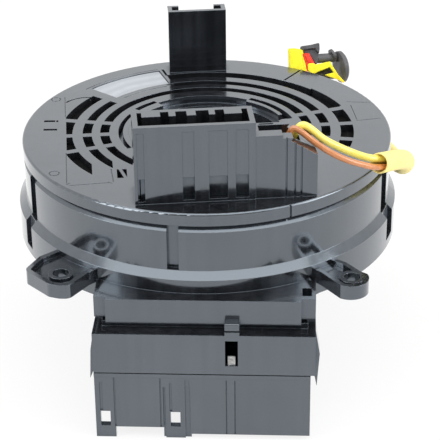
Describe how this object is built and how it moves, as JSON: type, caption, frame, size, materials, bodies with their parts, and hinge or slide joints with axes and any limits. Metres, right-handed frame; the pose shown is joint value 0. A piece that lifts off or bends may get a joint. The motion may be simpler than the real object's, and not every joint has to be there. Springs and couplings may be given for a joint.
{
  "type": "steering clock spring",
  "caption": "Steering clock spring: a grille-topped rotor with connector towers turns in a drum that holds a spiral ribbon cable, over geared angle sensors and vehicle sockets.",
  "frame": {"origin": "centre of the steering shaft bore, level with the top face of the rotor", "axes": "+Z along the steering shaft towards the wheel, -Y towards the vehicle sockets, stator square to the axes"},
  "size_m": [0.1137, 0.1195, 0.0863],
  "materials": {
    "black_moulding": "injection-moulded glossy black plastic",
    "hub_moulding": "moulded black plastic",
    "inner_moulding": "moulded black plastic",
    "slip_sheet": "black low-friction film",
    "label_film": "blank label film",
    "ribbon": "laminated flat cable",
    "contact_pin": "tinned brass",
    "gear_plastic": "natural acetal",
    "magnet": "bonded magnet",
    "board": "glass-epoxy circuit board",
    "chip": "moulded package",
    "yellow_insulation": "wire insulation",
    "brown_insulation": "wire insulation",
    "yellow_sleeve": "soft sleeve",
    "grey_plastic": "moulded plastic",
    "yellow_plastic": "moulded plastic",
    "red_plastic": "moulded plastic"
  },
  "bodies": {
    "stator": {"stator_housing": "black_moulding", "lower_slip_sheet": "slip_sheet", "ribbon_cable": "ribbon", "outer_ribbon_block": "inner_moulding", "sensor_case": "black_moulding", "connector_block": "black_moulding", "left_socket_pins": "contact_pin", "middle_socket_pins": "contact_pin", "right_socket_pins": "contact_pin", "sensor_board": "board", "sensor_chips": "chip", "case_clip": "contact_pin"},
    "rotor": {"rating_label": "label_film", "rotor_cover": "black_moulding", "rotor_hub": "hub_moulding", "upper_slip_sheet": "slip_sheet", "inner_ribbon_block": "inner_moulding", "switch_connector_pins": "contact_pin", "horn_connector_pins": "contact_pin", "ring_gear": "gear_plastic", "squib_wire_yellow": "yellow_insulation", "squib_wire_brown": "brown_insulation", "squib_sleeve": "yellow_sleeve", "squib_plug_body": "grey_plastic", "squib_plug_housing": "yellow_plastic", "squib_plug_lock": "red_plastic", "squib_plug_clip": "yellow_plastic"},
    "pinion_a": {"sensor_pinion_a": "gear_plastic", "sensor_magnet_a": "magnet"},
    "pinion_b": {"sensor_pinion_b": "gear_plastic", "sensor_magnet_b": "magnet"}
  },
  "joints": [
    {"name": "rotor_turn", "type": "hinge", "parent": "stator", "child": "rotor", "pos_m": [0, 0, -0.027], "axis": [0, 0, 1], "range_deg": [-907.6, 892.4]},
    {"name": "pinion_a_spin", "type": "hinge", "parent": "stator", "child": "pinion_a", "pos_m": [-0.01026, -0.03357, -0.0295], "axis": [0, 0, 1], "range_deg": [-3631, 3631]},
    {"name": "pinion_b_spin", "type": "hinge", "parent": "stator", "child": "pinion_b", "pos_m": [0.01041, -0.03404, -0.0295], "axis": [0, 0, 1], "range_deg": [-3389, 3389]}
  ],
  "couplings": [
    {"joint": "pinion_a_spin", "follows": "rotor_turn", "ratio": -4},
    {"joint": "pinion_b_spin", "follows": "rotor_turn", "ratio": -3.7333}
  ]
}
